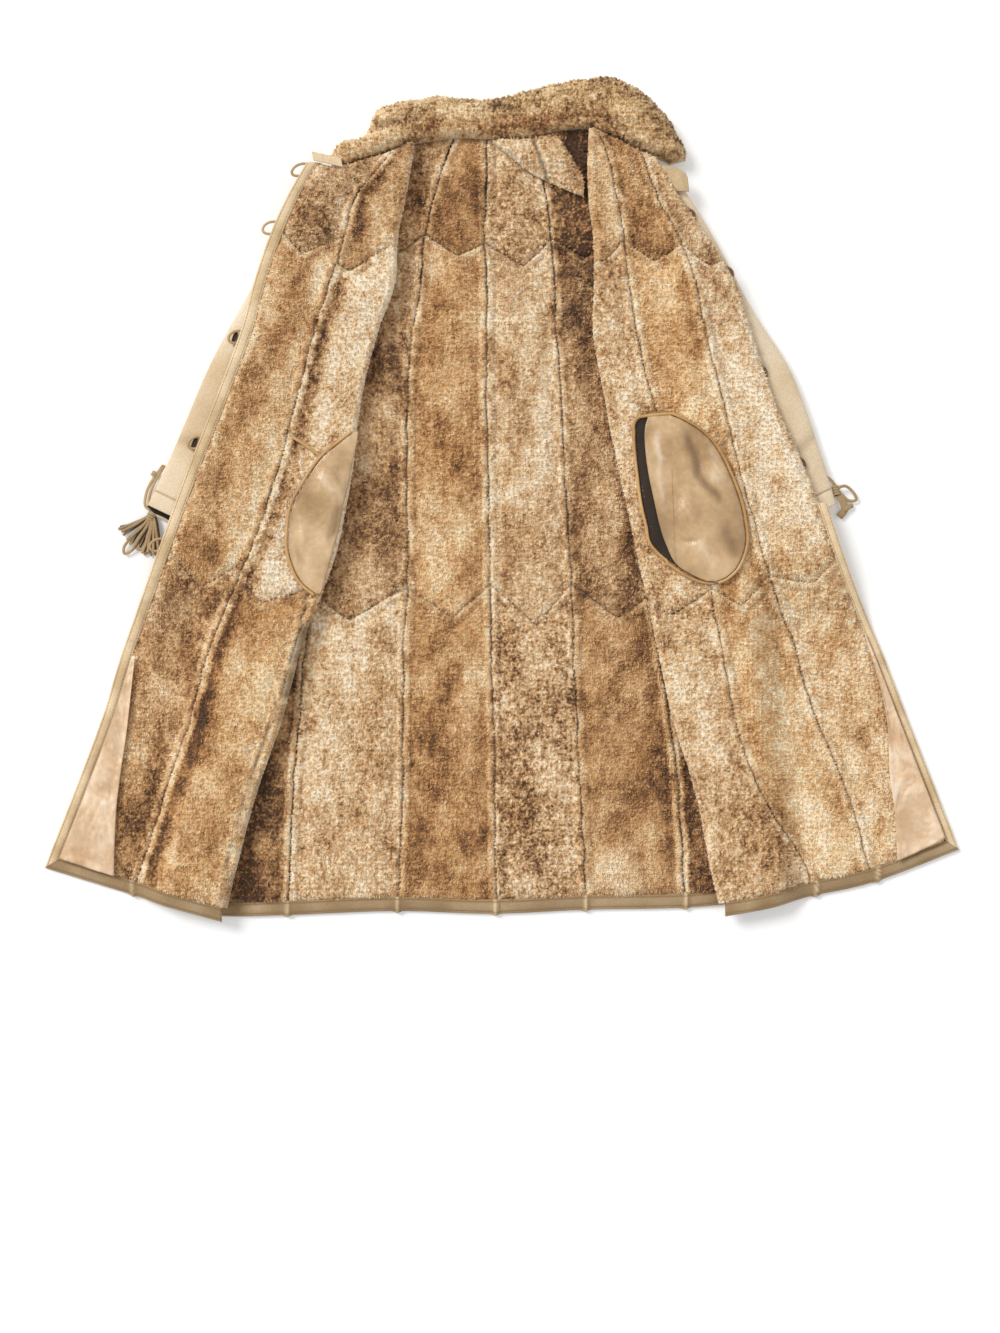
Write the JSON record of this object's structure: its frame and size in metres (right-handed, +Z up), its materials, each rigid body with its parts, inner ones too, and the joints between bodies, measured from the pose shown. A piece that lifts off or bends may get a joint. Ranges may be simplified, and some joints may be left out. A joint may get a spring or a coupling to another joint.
{
  "type": "sheepskin coat",
  "caption": "Long sheepskin coat laid out open, wool side up, with folded-back fronts, curly collar, suede sleeves, leather pocket bags and bound edges.",
  "frame": {"origin": "middle of the laid-out coat's outline, on the surface it lies on", "axes": "+X towards the wearer's left, across the coat; +Y from hem to collar; +Z up from the surface"},
  "size_m": [1.351, 1.244, 0.044],
  "materials": {
    "wool_pale": "soft sheared wool",
    "wool_tan": "soft sheared wool",
    "wool_golden": "soft sheared wool",
    "wool_caramel": "soft sheared wool",
    "wool_brown": "soft sheared wool",
    "wool_collar": "curly wool",
    "suede": "matt suede",
    "binding": "matt suede, stitched",
    "leather": "smooth, semi-gloss",
    "piping": "smooth, semi-gloss",
    "button": "satin"
  },
  "bodies": {
    "root": {"back_1_yoke": "wool_tan", "back_1_body": "wool_tan", "back_1_skirt": "wool_tan", "back_2_yoke": "wool_caramel", "back_2_body": "wool_caramel", "back_2_skirt": "wool_caramel", "back_3_yoke": "wool_tan", "back_3_body": "wool_pale", "back_3_skirt": "wool_tan", "back_4_yoke": "wool_brown", "back_4_body": "wool_brown", "back_4_skirt": "wool_golden", "back_side_left": "wool_brown", "back_side_right": "wool_brown", "left_1_yoke": "wool_tan", "left_1_body": "wool_golden", "left_1_skirt": "wool_caramel", "left_2_yoke": "wool_tan", "left_2_body": "wool_pale", "left_2_skirt": "wool_golden", "left_under_layer": "wool_brown", "right_1_yoke": "wool_golden", "right_1_body": "wool_tan", "right_1_skirt": "wool_tan", "right_2_yoke": "wool_caramel", "right_2_body": "wool_golden", "right_2_skirt": "wool_golden", "right_3_yoke": "wool_pale", "right_3_body": "wool_pale", "right_3_skirt": "wool_tan", "right_under_layer": "wool_brown", "shoulder_fold": "wool_tan", "collar": "wool_collar", "sleeve_left_upper": "suede", "sleeve_left_under": "suede", "sleeve_right_upper": "suede", "sleeve_right_under": "suede", "binding_left": "binding", "binding_right": "binding", "binding_back_hem": "binding", "neck_band_end": "binding", "neck_flap_right": "suede", "facing_left": "leather", "facing_right": "leather", "pocket_bag_left": "leather", "pocket_bag_right": "leather", "pocket_piping_left": "piping", "pocket_piping_right": "piping", "button_loop_1": "binding", "button_loop_2": "binding", "button_loop_3": "binding", "button_loop_4": "binding", "button_loop_5": "binding", "button_1": "button", "button_2": "button", "button_3": "button", "button_4": "button", "button_5": "button", "cuff_tassel_left": "suede", "cuff_lace_right": "suede"}
  },
  "joints": []
}
